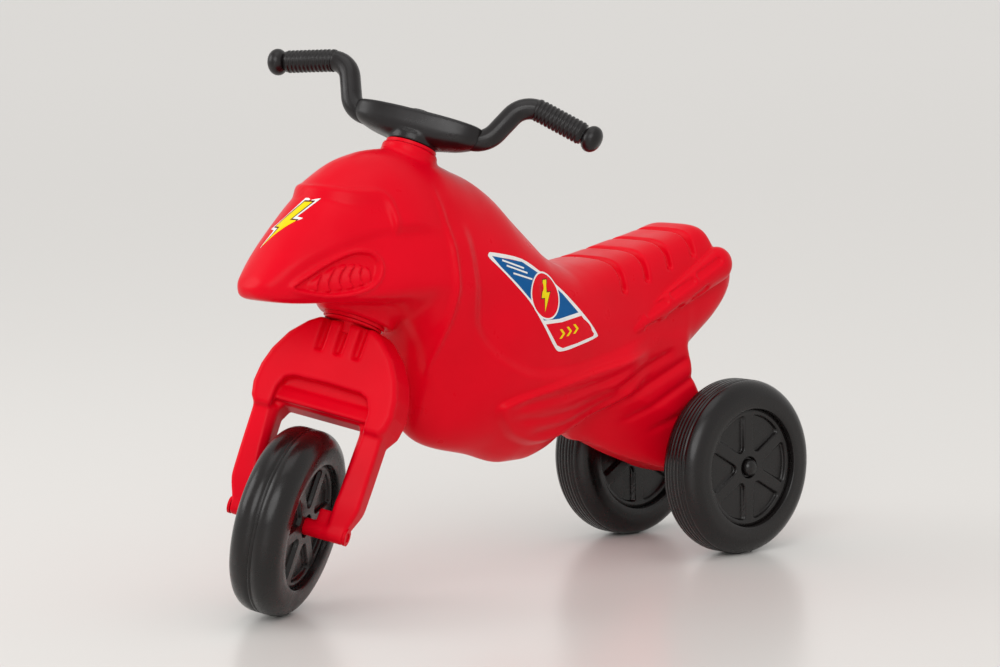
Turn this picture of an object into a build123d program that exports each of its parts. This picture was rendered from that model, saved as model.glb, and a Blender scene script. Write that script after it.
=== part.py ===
from build123d import *
from math import cos, radians, sin, pi
import os

# Children's ride-on tricycle in the style of a motorbike, millimetres.
# Frame: +Z up, the toy faces -Y, its left side is +X.
# Origin: on the floor, in the symmetry plane, midway between the two axle lines.

# ---------------------------------------------------------------- driving dimensions
WHEEL_RADIUS = 90.0
WHEEL_WIDTH = 50.4
WHEELBASE = 522.0
REAR_TRACK = 162.5          # between the middle planes of the rear wheels
RAKE = 24.9                 # steering axis, degrees from vertical
REST_TURN = 32.7            # the bars rest turned this far to the left
FIT_GAP = 0.05              # radial gap of running and assembled fits
WALL = 3.0                  # blow-moulded wall

REAR_Y = WHEELBASE / 2
FRONT_Y = -WHEELBASE / 2

# ---------------------------------------------------------------- wheels
TYRE_SHOULDER = 17.0
TYRE_WALL = 4.0
RIM_RADIUS = 62.0
DISC_FACE = 18.5            # disc face, from the wheel's middle plane
POCKET_DEPTH = 4.0
DISC_PLATE = 3.5
RIM_RING_INNER = 55.0
HUB_RADIUS = 18.0
HUB_RECESS_RADIUS = 11.0
HUB_FACE = 14.5             # bottom of the hub recess, from the middle plane
SPOKE_WIDTH = 12.0
SPOKE_COUNT = 6
SPOKE_PITCH = 360 / SPOKE_COUNT
POCKET_CORNER = 2.5
AXLE_RADIUS = 5.0

# ---------------------------------------------------------------- steering group
BOSS_RADIUS = 8.2
BOSS_INNER = 15.2
BOSS_OUTER = 58.0
CROWN_TOP = 196.0
CROWN_DEPTH = 38.0
STEM_RADIUS = 16.0
STEM_WALL = 3.5
STEM_TOP = 397.0
WASHER_THICK = 2.0
COLLAR_BOTTOM = 201.5
COLLAR_TOP = 377.0
BUSH_FLANGE = 3.0
BAR_RADIUS = 10.0
BALL_RADIUS = 13.2
GRIP_RIBS = 12
RIB_PITCH = 4.2
POD_BOTTOM = 380.5
POD_TOP = 413.0
BOLT_RADIUS = 4.0

os.makedirs("parts", exist_ok=True)


def finish(part, label):
    """Names one finished piece and writes it."""
    part.part.label = label
    export_step(part.part, f"parts/{label}.step")


# The steering frame: its Z is the steering axis pointing up, its X the front wheel's axle
# (left positive), its Y points to the rear, and its origin is the front axle's centre.
neck = Plane(
    origin=(0, FRONT_Y, WHEEL_RADIUS),
    x_dir=(1, 0, 0),
    z_dir=(0, sin(radians(RAKE)), cos(radians(RAKE))),
)
steer = Plane(
    neck.origin,
    x_dir=neck.x_dir.rotate(Axis(neck.origin, neck.z_dir), REST_TURN),
    z_dir=neck.z_dir,
)
steer_front = Plane(steer.origin, x_dir=steer.x_dir, z_dir=-steer.y_dir)
steer_side = Plane(steer.origin, x_dir=steer.y_dir, z_dir=steer.x_dir)


# ---------------------------------------------------------------- body shell
def ring_points(top, bottom, half_width, waist, round_top, round_bottom, count=16):
    """Points of one cross-section: a superellipse above and another below the waist."""
    points = []
    for i in range(count):
        angle = 2 * pi * i / count
        across, up = cos(angle), sin(angle)
        power = 2 / (round_top if up >= 0 else round_bottom)
        height = (top - waist) if up >= 0 else (waist - bottom)
        x = half_width * abs(across) ** power * (1 if across >= 0 else -1)
        points.append((x, waist + height * abs(up) ** power * (1 if up >= 0 else -1)))
    return points


def hull(stations, round_top, round_bottom, grow=0.0):
    """A loft through cross-sections at the given places along the toy.

    A station is (y, top, bottom, half width, height of the widest line)."""
    last = len(stations) - 1
    with BuildPart() as body:
        for i, (y, top, bottom, half_width, waist) in enumerate(stations):
            end_shift = -grow if i == 0 else grow if i == last else 0
            with BuildSketch(Plane.XZ.offset(-(y + end_shift))):
                with BuildLine():
                    outline = ring_points(
                        top + grow, bottom - grow, half_width + grow, waist, round_top, round_bottom
                    )
                    Spline(*outline, periodic=True)
                make_face()
        loft()
    return body.part


UPPER_STATIONS = [
    (-301, 331, 306, 9, 318),
    (-288, 344, 301, 27, 317),
    (-265, 369, 299, 47, 316),
    (-236, 400, 297, 60, 315),
    (-205, 420, 295, 69, 313),
    (-155, 434, 290, 77, 311),
    (-125, 431, 285, 79, 310),
    (-90, 416, 279, 80, 307),
    (-38, 392, 270, 80, 301),
    (5, 360, 260, 77, 293),
    (45, 329, 250, 72, 285),
    (80, 311, 242, 66, 278),
    (120, 309, 236, 60, 274),
    (185, 322, 236, 56, 279),
    (250, 333, 248, 53, 287),
    (288, 319, 262, 49, 290),
    (306, 303, 275, 40, 289),
]
LOWER_STATIONS = [
    (-118, 320, 172, 42, 275),
    (-90, 335, 143, 56, 272),
    (-40, 330, 127, 68, 266),
    (13, 310, 116, 71, 260),
    (60, 290, 122, 66, 254),
    (105, 285, 145, 60, 250),
    (150, 288, 172, 54, 250),
    (200, 290, 203, 47, 254),
]
UPPER_ROUND = (1.9, 2.2)
LOWER_ROUND = (2.0, 1.55)

SKIRT_HALF_WIDTH = 45.0
SKIRT_CORNER = 5.0
SKIRT_OUTLINE = [
    (72, 220), (76, 150), (97, 130), (140, 113), (195, 91), (240, 76), (278, 71),
    (289, 84), (276, 116), (246, 160), (232, 185), (215, 245),
]
SKIRT_PLAN = [    # (half width, place along the toy)
    (16, 60), (20, 140), (34, 205), (SKIRT_HALF_WIDTH, 252), (SKIRT_HALF_WIDTH, 300),
]
SKIRT_HEIGHT = 260.0


def skirt(inset=0.0):
    """The leg under the seat that carries the rear axle: a keel that widens towards the axle."""
    plan = SKIRT_PLAN + [(-x, y) for x, y in reversed(SKIRT_PLAN)]
    with BuildPart() as leg:
        with BuildSketch():
            with BuildLine():
                Polyline(*plan, close=True)
            make_face()
            fillet(vertices(), SKIRT_CORNER)
            if inset:
                offset(amount=-inset)
        extrude(amount=SKIRT_HEIGHT)
        with BuildSketch(Plane.YZ):
            with BuildLine():
                Polyline(*SKIRT_OUTLINE, close=True)
            make_face()
            fillet(vertices(), SKIRT_CORNER)
            if inset:
                offset(amount=-inset)
        extrude(amount=SKIRT_HEIGHT, both=True, mode=Mode.INTERSECT)
    return leg.part


def body_outside(grow=0.0):
    upper = hull(UPPER_STATIONS, *UPPER_ROUND, grow=grow)
    lower = hull(LOWER_STATIONS, *LOWER_ROUND, grow=grow)
    return upper, lower


upper_outside, lower_outside = body_outside()
upper_inside, lower_inside = body_outside(-WALL)

COLLAR_RADIUS = 28.0
COLLAR_HEIGHT = 30.0
LOWER_COLLAR_RADIUS = 38.0
LOWER_COLLAR_HEIGHT = 34.0
BUSH_OUTER = 20.0

with BuildPart() as body_shell:
    add(upper_outside)
    add(lower_outside)
    add(skirt())
    with BuildSketch(neck.offset(COLLAR_BOTTOM)):
        Circle(LOWER_COLLAR_RADIUS)
    extrude(amount=LOWER_COLLAR_HEIGHT)
    with BuildSketch(neck.offset(COLLAR_TOP)):
        Circle(COLLAR_RADIUS)
    extrude(amount=-COLLAR_HEIGHT)
    add(upper_inside, mode=Mode.SUBTRACT)
    add(lower_inside, mode=Mode.SUBTRACT)
    add(skirt(WALL), mode=Mode.SUBTRACT)
    with BuildSketch(neck.offset(COLLAR_BOTTOM)):
        Circle(BUSH_OUTER)
    extrude(amount=COLLAR_TOP - COLLAR_BOTTOM, mode=Mode.SUBTRACT)
    with Locations(Location((0, REAR_Y, WHEEL_RADIUS), (0, 90, 0))):
        Hole(AXLE_RADIUS + WALL)
finish(body_shell, "body_shell")


# ---------------------------------------------------------------- stickers
STICKER_THICK = 0.4
SIDE_STICKER = [
    (-71, 331), (-28, 323), (-2, 312), (47, 271), (73, 242), (20, 231), (-18, 279), (-55, 315),
]
STICKER_CORNER = 4.0
STICKER_INNER_X = 30.0      # the side films are cut from here outwards
STICKER_REACH = 60.0
NOSE_SHEET_Y = -200.0       # the nose film is cut from here forwards
NOSE_REACH = 120.0
FRONT_STICKER = [(-14, 345), (14, 345), (16, 392), (-16, 392)]


def film(outline, plane, reach):
    """A film on the body's skin: a grown hull less the hull, cut to the outline."""
    grown = hull(UPPER_STATIONS, *UPPER_ROUND, grow=STICKER_THICK)
    with BuildPart() as sheet:
        with BuildSketch(plane):
            with BuildLine():
                Polyline(*outline, close=True)
            make_face()
            fillet(vertices(), STICKER_CORNER)
        extrude(amount=reach)
        add(grown, mode=Mode.INTERSECT)
        add(upper_outside, mode=Mode.SUBTRACT)
        add(lower_outside, mode=Mode.SUBTRACT)
    return sheet


front_sticker = film(FRONT_STICKER, Plane.XZ.offset(-NOSE_SHEET_Y), NOSE_REACH)
finish(front_sticker, "front_sticker")
side_sticker_left = film(SIDE_STICKER, Plane.YZ.offset(STICKER_INNER_X), STICKER_REACH)
finish(side_sticker_left, "side_sticker_left")
side_sticker_right = film(SIDE_STICKER, Plane.YZ.offset(-STICKER_INNER_X), -STICKER_REACH)
finish(side_sticker_right, "side_sticker_right")


# ---------------------------------------------------------------- steering bushes
BUSH_LENGTH = 15.0
UPPER_FLANGE_RADIUS = 25.0
LOWER_FLANGE_RADIUS = 30.0
WASHER_RADIUS = 28.0


def flanged_bush(base, length, flange_radius, flange_up):
    """A sleeve on the steering axis with a flange at its lower or upper end."""
    bore = STEM_RADIUS + FIT_GAP
    flange_base = base if flange_up else base - BUSH_FLANGE
    sleeve_base = base - length if flange_up else base
    with BuildPart() as bush:
        with BuildSketch(neck.offset(sleeve_base)):
            Circle(BUSH_OUTER)
            Circle(bore, mode=Mode.SUBTRACT)
        extrude(amount=length)
        with BuildSketch(neck.offset(flange_base)):
            Circle(flange_radius)
            Circle(bore, mode=Mode.SUBTRACT)
        extrude(amount=BUSH_FLANGE)
    return bush


upper_bush = flanged_bush(COLLAR_TOP, BUSH_LENGTH, UPPER_FLANGE_RADIUS, True)
finish(upper_bush, "upper_bush")
lower_bush = flanged_bush(COLLAR_BOTTOM, BUSH_LENGTH, LOWER_FLANGE_RADIUS, False)
finish(lower_bush, "lower_bush")

with BuildPart() as thrust_washer:
    with BuildSketch(steer.offset(CROWN_TOP)):
        Circle(WASHER_RADIUS)
        Circle(STEM_RADIUS + FIT_GAP, mode=Mode.SUBTRACT)
    extrude(amount=WASHER_THICK)
finish(thrust_washer, "thrust_washer")


# ---------------------------------------------------------------- fork
STEM_BORE = STEM_RADIUS - STEM_WALL
STEM_PLUG = 10.0
CROWN_OUTLINE = [
    (66, 96), (71, 110), (71, 130), (60, 157), (42, 182), (24, CROWN_TOP),
    (-24, CROWN_TOP), (-42, 182), (-60, 157), (-71, 130), (-71, 110), (-66, 96),
]
LEG_SECTIONS = [
    # (height on the axis, inner edge, outer edge, half depth)
    (104, 43, 67, 14), (60, 42, 67, 13), (28, 41, 66, 12), (4, 41, 55, 8),
]
CROWN_CORNER = 5.0
WINDOW_DEPTH = 9.0
WINDOW_HEIGHT = 28.0
WINDOW_FOOT = 94.0          # the window's width at its foot
WINDOW_SLOPE = 80.0         # of its sides, degrees
WINDOW_MIDDLE = 124.0
LEG_CORNER = 4.0
LUG_HEIGHT = 16.0
LUG_WIDTH = 11.0
LUG_BASE = 4.0              # above the axle
LUG_INNER = 27.0
LUG_LENGTH = 16.0
STEM_ROOT = 8.0             # of the stem, inside the crown
STEM_BORE_DEPTH = 70.0      # of its bore, below the crown's top


with BuildPart() as fork:
    # crown: an arch with a shallow window in its front face
    with BuildSketch(steer_front.offset(-CROWN_DEPTH / 2)):
        with BuildLine():
            Polyline(*CROWN_OUTLINE, close=True)
        make_face()
        fillet(vertices(), CROWN_CORNER)
    extrude(amount=CROWN_DEPTH)
    with BuildSketch(steer_front.offset(CROWN_DEPTH / 2 - WINDOW_DEPTH)):
        with Locations((0, WINDOW_MIDDLE)):
            Trapezoid(WINDOW_FOOT, WINDOW_HEIGHT, WINDOW_SLOPE)
        fillet(vertices(), CROWN_CORNER)
    extrude(amount=WINDOW_DEPTH, mode=Mode.SUBTRACT)
    # legs
    for side in (1, -1):
        for height, inner, outer, half_depth in LEG_SECTIONS:
            with BuildSketch(steer.offset(height)):
                with Locations((side * (inner + outer) / 2, 0)):
                    RectangleRounded(outer - inner, 2 * half_depth, LEG_CORNER)
        loft()
    # horizontal bosses for the front axle, each with a square lug on its inner half
    for side in (1, -1):
        with BuildSketch(steer_side.offset(side * BOSS_INNER)):
            Circle(BOSS_RADIUS)
        extrude(amount=side * (BOSS_OUTER - BOSS_INNER))
        with BuildSketch(steer_side.offset(side * LUG_INNER)):
            with Locations((0, LUG_HEIGHT / 2 + LUG_BASE)):
                Rectangle(LUG_WIDTH, LUG_HEIGHT)
        extrude(amount=side * LUG_LENGTH)
    # hollow stem, closed by a plug under its top
    with BuildSketch(steer.offset(CROWN_TOP - STEM_ROOT)):
        Circle(STEM_RADIUS)
    extrude(amount=STEM_TOP - CROWN_TOP + STEM_ROOT)
    with BuildSketch(steer.offset(CROWN_TOP - STEM_BORE_DEPTH)):
        Circle(STEM_BORE)
    extrude(amount=STEM_TOP - STEM_PLUG - CROWN_TOP + STEM_BORE_DEPTH, mode=Mode.SUBTRACT)
    with BuildSketch(steer.offset(STEM_TOP)):
        Circle(BOLT_RADIUS + FIT_GAP)
    extrude(amount=-STEM_PLUG, mode=Mode.SUBTRACT)
    # axle bore
    with BuildSketch(steer_side.offset(-BOSS_OUTER)):
        Circle(AXLE_RADIUS + FIT_GAP)
    extrude(amount=2 * BOSS_OUTER, mode=Mode.SUBTRACT)
finish(fork, "fork")

# ---------------------------------------------------------------- handlebar
POD_RING_PROUD = 4.0        # the ring under the pod
POD_RING_HEIGHT = 14.0
POD_RING_WALL = 6.0
POD_SECTIONS = [
    # (height on the axis, half length across, half depth, corner radius)
    (POD_BOTTOM + POD_RING_PROUD, 31, 17, 12), (391, 60, 21, 14), (405, 64, 23, 14), (POD_TOP, 58, 18, 12),
]
BAR_PATH = [(40, 4, 400), (70, 3, 402), (92, 9, 451), (164.6, 17, 434)]
BAR_BEND = 23.0
RIB_HEIGHT = 0.9
POD_FLOOR = 5.0             # under the bolt head
CAP_HOLE_RADIUS = 10.0
FIRST_RIB = 12.0            # from the ball's centre

# left side of the bar: bent tube, ribbed grip and ball end
bar_points = [steer.from_local_coords(point) for point in BAR_PATH]
grip = Plane(bar_points[3], z_dir=bar_points[2] - bar_points[3])
with BuildPart() as bar_arm:
    with BuildLine() as bar_line:
        FilletPolyline(*bar_points, radius=BAR_BEND)
    with BuildSketch(Plane(bar_points[0], z_dir=bar_points[1] - bar_points[0])):
        Circle(BAR_RADIUS)
    sweep(path=bar_line.wires()[0])
    for i in range(GRIP_RIBS):
        with BuildSketch(grip.offset(FIRST_RIB + i * RIB_PITCH)):
            Circle(BAR_RADIUS + RIB_HEIGHT)
        extrude(amount=RIB_PITCH / 2)
    with Locations(Location(bar_points[3])):
        Sphere(BALL_RADIUS)


with BuildPart() as handlebar:
    for height, half_length, half_depth, corner in POD_SECTIONS:
        with BuildSketch(steer.offset(height)):
            RectangleRounded(2 * half_length, 2 * half_depth, corner)
    loft()
    with BuildSketch(steer.offset(POD_BOTTOM)):
        Circle(STEM_RADIUS + POD_RING_WALL)
    extrude(amount=POD_RING_HEIGHT)
    add(bar_arm.part)
    add(mirror(bar_arm.part, steer_side))
    # socket for the stem, bolt hole and the recess over the bolt head
    with BuildSketch(steer.offset(POD_BOTTOM)):
        Circle(STEM_RADIUS + FIT_GAP)
    extrude(amount=STEM_TOP - POD_BOTTOM, mode=Mode.SUBTRACT)
    with BuildSketch(steer.offset(STEM_TOP)):
        Circle(BOLT_RADIUS + FIT_GAP)
    extrude(amount=POD_TOP - STEM_TOP, mode=Mode.SUBTRACT)
    with BuildSketch(steer.offset(STEM_TOP + POD_FLOOR)):
        Circle(CAP_HOLE_RADIUS)
    extrude(amount=POD_TOP - STEM_TOP - POD_FLOOR, mode=Mode.SUBTRACT)
finish(handlebar, "handlebar")


# ---------------------------------------------------------------- handlebar fastening
HEAD_RADIUS = 6.5
HEAD_HEIGHT = 5.0
PLATE_THICK = 1.6
NUT_THICK = 6.5
BOLT_TAIL = 4.0             # of the bolt, past the nut
CLAMP_WASHER_RADIUS = 8.5
NUT_EXTRA = 0.9             # the nut's radius over the bolt head's
CAP_GAP = 0.4
CAP_RIM_RADIUS = 12.5
CAP_RIM_THICK = 2.2
CAP_RIM_ROUND = 1.5
BOLT_SEAT = STEM_TOP + POD_FLOOR
NUT_TOP = STEM_TOP - STEM_PLUG

with BuildPart() as clamp_washer:
    with BuildSketch(steer.offset(BOLT_SEAT)):
        Circle(CLAMP_WASHER_RADIUS)
        Circle(BOLT_RADIUS + FIT_GAP, mode=Mode.SUBTRACT)
    extrude(amount=PLATE_THICK)
finish(clamp_washer, "clamp_washer")

with BuildPart() as clamp_bolt:
    with BuildSketch(steer.offset(NUT_TOP - NUT_THICK - BOLT_TAIL)):
        Circle(BOLT_RADIUS)
    extrude(amount=BOLT_SEAT + PLATE_THICK - NUT_TOP + NUT_THICK + BOLT_TAIL)
    with BuildSketch(steer.offset(BOLT_SEAT + PLATE_THICK)):
        RegularPolygon(HEAD_RADIUS, 6)
    extrude(amount=HEAD_HEIGHT)
finish(clamp_bolt, "clamp_bolt")

with BuildPart() as clamp_nut:
    with BuildSketch(steer.offset(NUT_TOP)):
        RegularPolygon(HEAD_RADIUS + NUT_EXTRA, 6)
        Circle(BOLT_RADIUS + FIT_GAP, mode=Mode.SUBTRACT)
    extrude(amount=-NUT_THICK)
finish(clamp_nut, "clamp_nut")

CAP_FLOOR = BOLT_SEAT + PLATE_THICK + HEAD_HEIGHT
with BuildPart() as bolt_cap:
    with BuildSketch(steer.offset(CAP_FLOOR + CAP_GAP)):
        Circle(CAP_HOLE_RADIUS - FIT_GAP)
    extrude(amount=POD_TOP - CAP_FLOOR - CAP_GAP)
    with BuildSketch(steer.offset(POD_TOP)):
        Circle(CAP_RIM_RADIUS)
    extrude(amount=CAP_RIM_THICK)
    rim_edges = edges().filter_by(GeomType.CIRCLE).group_by(SortBy.RADIUS)[-1]
    fillet(rim_edges.sort_by(Axis.Z)[-1], CAP_RIM_ROUND)
finish(bolt_cap, "bolt_cap")


# ---------------------------------------------------------------- axles and their caps
PLUG_LENGTH = 3.0           # of an end cap, inside its boss
CAP_RING_PROUD = 2.6
CAP_RING_INNER = 4.5
CAP_FACE_PROUD = 1.4

with BuildPart() as front_axle:
    with BuildSketch(steer_side.offset(-BOSS_OUTER + PLUG_LENGTH)):
        Circle(AXLE_RADIUS)
    extrude(amount=2 * (BOSS_OUTER - PLUG_LENGTH))
finish(front_axle, "front_axle")

for side, name in ((1, "left"), (-1, "right")):
    with BuildPart() as front_axle_cap:
        with BuildSketch(steer_side.offset(side * (BOSS_OUTER - PLUG_LENGTH))):
            Circle(AXLE_RADIUS)
        extrude(amount=side * PLUG_LENGTH)
        with BuildSketch(steer_side.offset(side * BOSS_OUTER)):
            Circle(BOSS_RADIUS)
            Circle(CAP_RING_INNER, mode=Mode.SUBTRACT)
        extrude(amount=side * CAP_RING_PROUD)
        with BuildSketch(steer_side.offset(side * BOSS_OUTER)):
            Circle(AXLE_RADIUS)
        extrude(amount=side * CAP_FACE_PROUD)
    finish(front_axle_cap, f"front_axle_cap_{name}")

HUB_OUTER_X = REAR_TRACK / 2 + HUB_FACE
HUB_INNER_X = REAR_TRACK / 2 - HUB_FACE
REAR_WASHER = 1.2
CAP_RADIUS = 8.8
CAP_LENGTH = 9.5
CAP_ROUND = 7.0
AXLE_LENGTH_IN_CAP = 6.0
AXIAL_GAP = 0.2             # beside a wheel that turns
SLEEVE_LENGTH = 8.0         # of a spacer, inside the body
SPACER_RADIUS = HUB_RECESS_RADIUS - 0.6
AXLE_END_X = HUB_OUTER_X + REAR_WASHER + AXLE_LENGTH_IN_CAP

with BuildPart() as rear_axle:
    with BuildSketch(Plane.YZ.offset(-AXLE_END_X)):
        with Locations((REAR_Y, WHEEL_RADIUS)):
            Circle(AXLE_RADIUS)
    extrude(amount=2 * AXLE_END_X)
finish(rear_axle, "rear_axle")

for side, name in ((1, "left"), (-1, "right")):
    with BuildPart() as axle_spacer:
        with BuildSketch(Plane.YZ.offset(side * (SKIRT_HALF_WIDTH - SLEEVE_LENGTH))):
            with Locations((REAR_Y, WHEEL_RADIUS)):
                Circle(AXLE_RADIUS + WALL - FIT_GAP)
                Circle(AXLE_RADIUS + FIT_GAP, mode=Mode.SUBTRACT)
        extrude(amount=side * SLEEVE_LENGTH)
        with BuildSketch(Plane.YZ.offset(side * SKIRT_HALF_WIDTH)):
            with Locations((REAR_Y, WHEEL_RADIUS)):
                Circle(SPACER_RADIUS)
                Circle(AXLE_RADIUS + FIT_GAP, mode=Mode.SUBTRACT)
        extrude(amount=side * (HUB_INNER_X - SKIRT_HALF_WIDTH - AXIAL_GAP))
    finish(axle_spacer, f"axle_spacer_{name}")

    with BuildPart() as rear_washer:
        with BuildSketch(Plane.YZ.offset(side * (HUB_OUTER_X + AXIAL_GAP))):
            with Locations((REAR_Y, WHEEL_RADIUS)):
                Circle(CAP_RADIUS + 1)
                Circle(AXLE_RADIUS + FIT_GAP, mode=Mode.SUBTRACT)
        extrude(amount=side * (REAR_WASHER - AXIAL_GAP))
    finish(rear_washer, f"rear_washer_{name}")

    cap_base = side * (HUB_OUTER_X + REAR_WASHER)
    with BuildPart() as rear_cap:
        with BuildSketch(Plane.YZ.offset(cap_base)):
            with Locations((REAR_Y, WHEEL_RADIUS)):
                Circle(CAP_RADIUS)
        extrude(amount=side * CAP_LENGTH)
        fillet(faces().sort_by(Axis.X)[-1 if side > 0 else 0].edges(), CAP_ROUND)
        with BuildSketch(Plane.YZ.offset(cap_base)):
            with Locations((REAR_Y, WHEEL_RADIUS)):
                Circle(AXLE_RADIUS + FIT_GAP)
        extrude(amount=side * AXLE_LENGTH_IN_CAP, mode=Mode.SUBTRACT)
    finish(rear_cap, f"rear_axle_cap_{name}")


# ---------------------------------------------------------------- wheels
def wheel_plane(side):
    """Middle plane of a wheel: 0 is the front wheel, 1 the rear left, -1 the rear right."""
    if side == 0:
        return steer_side
    return Plane((side * REAR_TRACK / 2, REAR_Y, WHEEL_RADIUS), x_dir=(0, 1, 0), z_dir=(1, 0, 0))


def cross_section(middle):
    """The plane through a wheel's axle: its X is the radius, its Y runs along the axle."""
    return Plane(middle.origin, x_dir=middle.x_dir, z_dir=middle.x_dir.cross(middle.z_dir))


def tyre(middle):
    """A hollow tyre, open towards the axle."""
    axle_line = Axis(middle.origin, middle.z_dir)
    middle_radius = (WHEEL_RADIUS + RIM_RADIUS) / 2
    depth = WHEEL_RADIUS - RIM_RADIUS
    with BuildPart() as ring:
        with BuildSketch(cross_section(middle)):
            with Locations((middle_radius, 0)):
                Rectangle(depth, WHEEL_WIDTH)
            fillet(vertices().group_by(Axis.X)[-1], TYRE_SHOULDER)
        revolve(axis=axle_line)
        with BuildSketch(cross_section(middle)):
            with Locations((middle_radius - TYRE_WALL, 0)):
                Rectangle(depth, WHEEL_WIDTH - 2 * TYRE_WALL)
            fillet(vertices().group_by(Axis.X)[-1], TYRE_SHOULDER - TYRE_WALL)
        revolve(axis=axle_line, mode=Mode.SUBTRACT)
    return ring


def disc(middle):
    """A hollow wheel disc: two face plates on a hub tube, each with six shallow pockets."""
    plate_back = DISC_FACE - POCKET_DEPTH - DISC_PLATE
    with BuildPart() as spool:
        with BuildSketch(middle.offset(-DISC_FACE)):
            Circle(RIM_RADIUS - FIT_GAP)
        extrude(amount=2 * DISC_FACE)
        with BuildSketch(middle.offset(-plate_back)):
            Circle(RIM_RADIUS)
            Circle(HUB_RADIUS, mode=Mode.SUBTRACT)
        extrude(amount=2 * plate_back, mode=Mode.SUBTRACT)
        for face in (1, -1):
            with BuildSketch(middle.offset(face * DISC_FACE)):
                Circle(RIM_RING_INNER)
                Circle(HUB_RADIUS, mode=Mode.SUBTRACT)
                spoke_middle = (HUB_RADIUS + RIM_RING_INNER) / 2
                with PolarLocations(spoke_middle, SPOKE_COUNT, start_angle=SPOKE_PITCH / 2):
                    Rectangle(RIM_RING_INNER, SPOKE_WIDTH, mode=Mode.SUBTRACT)
                fillet(vertices(), POCKET_CORNER)
            extrude(amount=-face * POCKET_DEPTH, mode=Mode.SUBTRACT)
            with BuildSketch(middle.offset(face * DISC_FACE)):
                Circle(HUB_RECESS_RADIUS)
            extrude(amount=-face * (DISC_FACE - HUB_FACE), mode=Mode.SUBTRACT)
        with BuildSketch(middle.offset(-DISC_FACE)):
            Circle(AXLE_RADIUS + FIT_GAP)
        extrude(amount=2 * DISC_FACE, mode=Mode.SUBTRACT)
    return spool


for side, tyre_name, disc_name in (
    (0, "front_tyre", "front_disc"),
    (1, "rear_tyre_left", "rear_disc_left"),
    (-1, "rear_tyre_right", "rear_disc_right"),
):
    finish(tyre(wheel_plane(side)), tyre_name)
    finish(disc(wheel_plane(side)), disc_name)
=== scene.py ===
from math import cos, pi, radians, sin, tau

import bpy
import numpy as np
import openvdb
from mathutils import Matrix, Vector
from mathutils.bvhtree import BVHTree
from mathutils.geometry import delaunay_2d_cdt


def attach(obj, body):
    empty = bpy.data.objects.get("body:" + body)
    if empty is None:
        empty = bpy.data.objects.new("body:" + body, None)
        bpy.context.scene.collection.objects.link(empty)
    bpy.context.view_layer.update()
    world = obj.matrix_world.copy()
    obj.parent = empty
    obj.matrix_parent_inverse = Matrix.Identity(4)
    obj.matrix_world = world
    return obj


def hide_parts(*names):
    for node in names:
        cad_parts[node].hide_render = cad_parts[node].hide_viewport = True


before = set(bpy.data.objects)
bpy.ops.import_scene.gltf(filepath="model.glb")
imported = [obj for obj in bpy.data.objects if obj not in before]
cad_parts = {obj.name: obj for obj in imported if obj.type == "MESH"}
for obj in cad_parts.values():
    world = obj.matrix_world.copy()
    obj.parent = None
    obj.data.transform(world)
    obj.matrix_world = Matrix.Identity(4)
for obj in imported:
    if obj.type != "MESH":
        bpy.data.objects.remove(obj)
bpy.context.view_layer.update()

# A children's tricycle in the style of a motorbike: moulded red body, fork and bar on black wheels.
# Lengths are in millimetres until a mesh is made. The frame is the CAD frame: floor at z = 0,
# the toy faces -Y and its left side is +X.
MM = 0.001
WHEEL_RADIUS = 90.0
WHEELBASE = 522.0
REAR_TRACK = 162.5
RAKE = 24.9
REST_TURN = 32.7
REAR_Y = WHEELBASE / 2
FRONT_Y = -WHEELBASE / 2

# The steering frame: Z is the steering axis, X the front axle (left positive), Y points to the rear.
NECK_AXIS = np.array((0.0, sin(radians(RAKE)), cos(radians(RAKE))))
NECK_REAR = np.array((0.0, cos(radians(RAKE)), -sin(radians(RAKE))))
STEER_X = cos(radians(REST_TURN)) * np.array((1.0, 0.0, 0.0)) + sin(radians(REST_TURN)) * NECK_REAR
STEER_Y = np.cross(NECK_AXIS, STEER_X)
STEER = Matrix((
    (*[a[0] for a in (STEER_X, STEER_Y, NECK_AXIS)], 0.0),
    (*[a[1] for a in (STEER_X, STEER_Y, NECK_AXIS)], FRONT_Y),
    (*[a[2] for a in (STEER_X, STEER_Y, NECK_AXIS)], WHEEL_RADIUS),
    (0.0, 0.0, 0.0, 1.0),
))

# ---------------------------------------------------------------- small shape tools


def curve(points, at):
    """A smooth curve through (place, value) points that never overshoots them."""
    place, value = np.array(points, float).T
    step = np.diff(place)
    slope = np.diff(value) / step
    tangent = np.zeros_like(place)
    tangent[0], tangent[-1] = slope[0], slope[-1]
    same_way = slope[:-1] * slope[1:] > 0
    near, far = 2 * step[1:] + step[:-1], step[1:] + 2 * step[:-1]
    with np.errstate(divide="ignore", invalid="ignore"):
        mean = (near + far) / (near / slope[:-1] + far / slope[1:])
    tangent[1:-1] = np.where(same_way, mean, 0)
    i = np.clip(np.searchsorted(place, at) - 1, 0, len(step) - 1)
    t = np.clip((at - place[i]) / step[i], 0, 1)
    return (
        value[i] * (1 + 2 * t) * (1 - t) ** 2
        + tangent[i] * step[i] * t * (1 - t) ** 2
        + value[i + 1] * t * t * (3 - 2 * t)
        - tangent[i + 1] * step[i] * t * t * (1 - t)
    )


def ramp(value, start, end):
    """0 before start, 1 after end, smooth between them."""
    t = np.clip((value - start) / (end - start), 0, 1)
    return t * t * (3 - 2 * t)


def join(a, b, blend):
    """Union of two distance fields with a fillet of about that size."""
    h = np.clip(0.5 + 0.5 * (b - a) / blend, 0, 1)
    return b + (a - b) * h - blend * h * (1 - h)


def cut(a, b, blend):
    """Field a without field b, with a rounded edge."""
    return -join(-a, b, blend)


def keep(a, b, blend):
    """What a and b share, with a rounded edge."""
    return -join(-a, -b, blend)


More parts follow.
